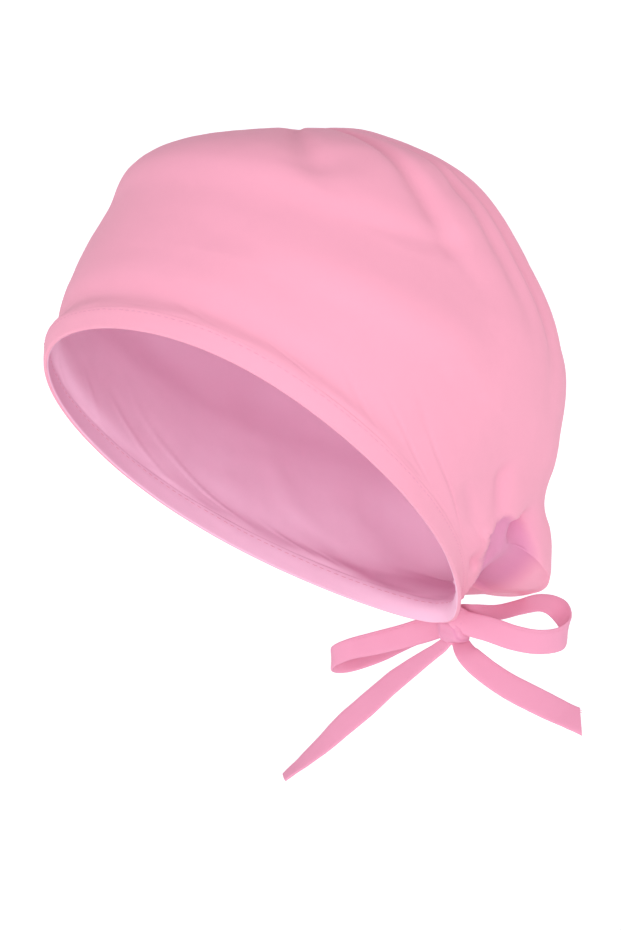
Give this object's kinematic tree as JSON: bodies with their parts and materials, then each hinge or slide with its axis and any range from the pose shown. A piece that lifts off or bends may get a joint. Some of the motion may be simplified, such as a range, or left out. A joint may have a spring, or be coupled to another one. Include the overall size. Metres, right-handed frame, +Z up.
{
  "type": "scrub cap",
  "caption": "Soft cotton surgical cap with a gathered back, a bound rim and a small bow tied at the nape, held in its worn form.",
  "frame": {"origin": "middle of the rim opening, where the head holds the cap", "axes": "+Z up, the wearer faces -Y with the nape and bow at +Y, +X is the wearer's left"},
  "size_m": [0.1764, 0.2185, 0.2586],
  "materials": {
    "cloth": "smooth matt pink cotton"
  },
  "bodies": {
    "root": {"crown": "cloth", "rim_binding": "cloth", "knot": "cloth", "loop_left": "cloth", "loop_right": "cloth", "tail_left": "cloth", "tail_right": "cloth"}
  },
  "joints": []
}
